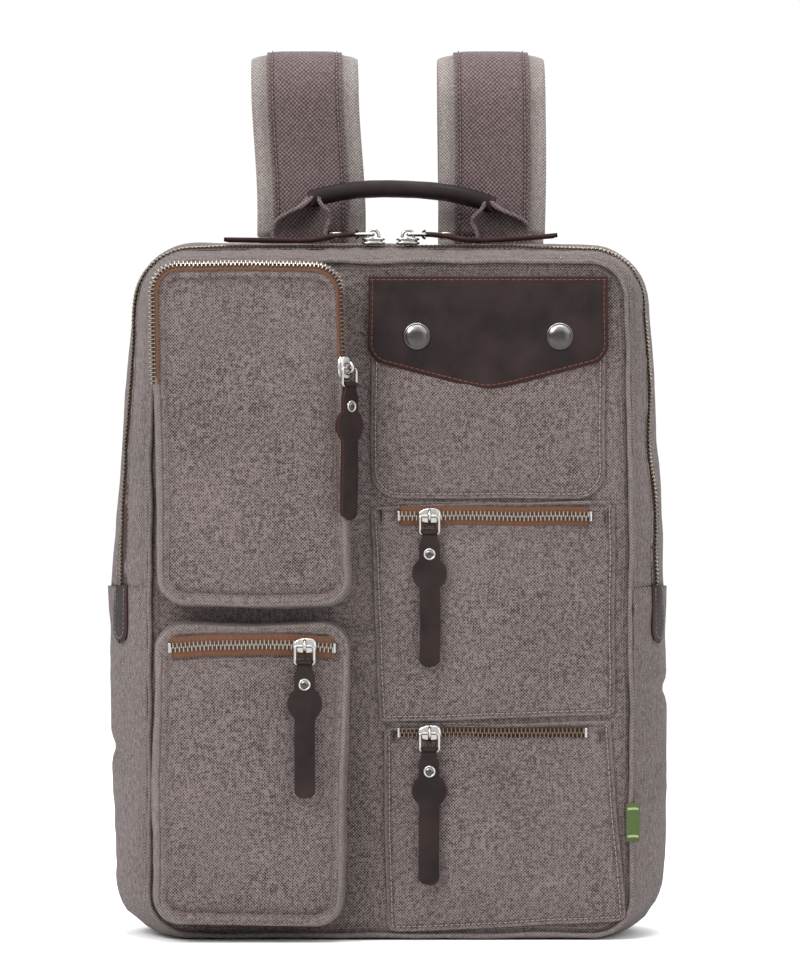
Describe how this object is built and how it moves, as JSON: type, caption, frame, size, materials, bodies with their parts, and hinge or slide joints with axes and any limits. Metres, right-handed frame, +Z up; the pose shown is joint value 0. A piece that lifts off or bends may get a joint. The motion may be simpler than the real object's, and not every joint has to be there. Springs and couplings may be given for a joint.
{
  "type": "travel backpack",
  "caption": "Upright canvas travel backpack with gusseted and patch pockets, metal zips with leather pulls, a snapped flap, top handle and two shoulder straps.",
  "frame": {"origin": "centre of the bottom that the bag stands on", "axes": "+Z up, the pockets face -Y, +X is the right as seen from the front"},
  "size_m": [0.35, 0.2341, 0.566],
  "materials": {
    "canvas": "washed canvas",
    "strap_canvas": "canvas",
    "webbing": "coarse webbing",
    "leather": "waxed",
    "nickel": "polished nickel",
    "zip_metal": "antique",
    "zip_tape": "woven tape",
    "back_mesh": "air mesh",
    "lining": "cotton",
    "plastic": "matte",
    "green_tag": "woven"
  },
  "bodies": {
    "bag": {"rear_gusset": "canvas", "lower_gusset_left": "canvas", "lower_gusset_right": "canvas", "bottom_panel": "canvas", "back_panel": "canvas", "rear_piping": "canvas", "rear_zip_tape": "zip_tape", "rear_zip_teeth": "zip_metal", "zip_end_tabs": "leather", "strap_yoke": "strap_canvas", "strap_wings": "strap_canvas", "back_pad": "back_mesh", "bottom_board": "plastic", "laptop_sleeve": "lining", "rear_lining": "lining"},
    "front_wall": {"front_panel": "canvas", "front_gusset": "canvas", "front_piping": "canvas", "front_zip_tape": "zip_tape", "front_zip_teeth": "zip_metal", "upper_pocket": "canvas", "lower_pocket": "canvas", "pocket_zip_tapes": "zip_tape", "pocket_zip_teeth": "zip_metal", "flap_pocket_patch": "canvas", "middle_pocket_patch": "canvas", "low_pocket_patch": "canvas", "snap_studs": "nickel", "side_tag": "green_tag", "front_lining": "lining"},
    "flap": {"flap": "leather", "snap_caps": "nickel"},
    "handle": {"handle_grip": "leather", "handle_webbing": "webbing"},
    "lower_zip_slider": {"lower_zip_slider": "nickel"},
    "lower_zip_pull": {"lower_zip_pull": "leather", "lower_zip_pull_metal": "nickel"},
    "middle_zip_slider": {"middle_zip_slider": "nickel"},
    "middle_zip_pull": {"middle_zip_pull": "leather", "middle_zip_pull_metal": "nickel"},
    "low_zip_slider": {"low_zip_slider": "nickel"},
    "low_zip_pull": {"low_zip_pull": "leather", "low_zip_pull_metal": "nickel"},
    "upper_zip_slider": {"upper_zip_slider": "nickel"},
    "upper_zip_pull": {"upper_zip_pull": "leather", "upper_zip_pull_metal": "nickel"},
    "left_top_zip_slider": {"left_top_zip_slider": "nickel"},
    "left_top_zip_pull": {"left_top_zip_pull": "leather", "left_top_zip_pull_metal": "nickel"},
    "right_top_zip_slider": {"right_top_zip_slider": "nickel"},
    "right_top_zip_pull": {"right_top_zip_pull": "leather", "right_top_zip_pull_metal": "nickel"},
    "left_strap": {"left_strap": "strap_canvas", "left_strap_webbing": "webbing", "left_lower_webbing": "webbing"},
    "left_adjuster": {"left_adjuster": "plastic"},
    "right_strap": {"right_strap": "strap_canvas", "right_strap_webbing": "webbing", "right_lower_webbing": "webbing"},
    "right_adjuster": {"right_adjuster": "plastic"}
  },
  "joints": [
    {"name": "front_wall_lean", "type": "hinge", "parent": "bag", "child": "front_wall", "pos_m": [0, -0.058, 0.0015], "axis": [1, 0, 0], "range_deg": [0, 12]},
    {"name": "flap_lift", "type": "hinge", "parent": "front_wall", "child": "flap", "pos_m": [0.0575, -0.0632, 0.4175], "axis": [-1, 0, 0], "range_deg": [0, 130]},
    {"name": "handle_tip", "type": "hinge", "parent": "bag", "child": "handle", "pos_m": [0.007, 0.046, 0.4405], "axis": [-1, 0, 0], "range_deg": [-70, 8]},
    {"name": "lower_zip_run", "type": "slide", "parent": "front_wall", "child": "lower_zip_slider", "axis": [-1, 0, 0], "range_m": [0, 0.075]},
    {"name": "lower_zip_pull_lift", "type": "hinge", "parent": "lower_zip_slider", "child": "lower_zip_pull", "pos_m": [-0.0535, -0.0966, 0.186], "axis": [-1, 0, 0], "range_deg": [0, 80]},
    {"name": "middle_zip_run", "type": "slide", "parent": "front_wall", "child": "middle_zip_slider", "axis": [1, 0, 0], "range_m": [0, 0.085]},
    {"name": "middle_zip_pull_lift", "type": "hinge", "parent": "middle_zip_slider", "child": "middle_zip_pull", "pos_m": [0.0245, -0.0698, 0.267], "axis": [-1, 0, 0], "range_deg": [0, 80]},
    {"name": "low_zip_run", "type": "slide", "parent": "front_wall", "child": "low_zip_slider", "axis": [1, 0, 0], "range_m": [0, 0.085]},
    {"name": "low_zip_pull_lift", "type": "hinge", "parent": "low_zip_slider", "child": "low_zip_pull", "pos_m": [0.0245, -0.0698, 0.1305], "axis": [-1, 0, 0], "range_deg": [0, 80]},
    {"name": "upper_zip_run", "type": "slide", "parent": "front_wall", "child": "upper_zip_slider", "axis": [0, 0, 1], "range_m": [0, 0.045]},
    {"name": "upper_zip_pull_lift", "type": "hinge", "parent": "upper_zip_slider", "child": "upper_zip_pull", "pos_m": [-0.0255, -0.09251, 0.3595], "axis": [-0.7071, -0.7071, 0], "range_deg": [0, 80]},
    {"name": "left_top_zip_run", "type": "slide", "parent": "bag", "child": "left_top_zip_slider", "axis": [-1, 0, 0], "range_m": [0, 0.065]},
    {"name": "left_top_zip_pull_lift", "type": "hinge", "parent": "left_top_zip_slider", "child": "left_top_zip_pull", "pos_m": [-0.011, -0.025, 0.4458], "axis": [0, 1, 0], "range_deg": [0, 80]},
    {"name": "right_top_zip_run", "type": "slide", "parent": "bag", "child": "right_top_zip_slider", "axis": [1, 0, 0], "range_m": [0, 0.065]},
    {"name": "right_top_zip_pull_lift", "type": "hinge", "parent": "right_top_zip_slider", "child": "right_top_zip_pull", "pos_m": [0.011, -0.025, 0.4458], "axis": [0, -1, 0], "range_deg": [0, 80]},
    {"name": "left_strap_swing", "type": "hinge", "parent": "bag", "child": "left_strap", "pos_m": [-0.052, 0.071, 0.4495], "axis": [-0.1763, 0.0097, -0.9843], "range_deg": [-15, 10]},
    {"name": "left_adjuster_run", "type": "slide", "parent": "left_strap", "child": "left_adjuster", "axis": [-0.4299, -0.2356, -0.8716], "range_m": [0, 0.06]},
    {"name": "right_strap_swing", "type": "hinge", "parent": "bag", "child": "right_strap", "pos_m": [0.066, 0.071, 0.4495], "axis": [-0.1433, -0.0097, 0.9896], "range_deg": [-15, 10]},
    {"name": "right_adjuster_run", "type": "slide", "parent": "right_strap", "child": "right_adjuster", "axis": [0.3592, -0.2435, -0.9009], "range_m": [0, 0.06]}
  ],
  "couplings": [
    {"joint": "left_top_zip_run", "follows": "front_wall_lean", "m_per_rad": 0.31},
    {"joint": "right_top_zip_run", "follows": "front_wall_lean", "m_per_rad": 0.31}
  ]
}
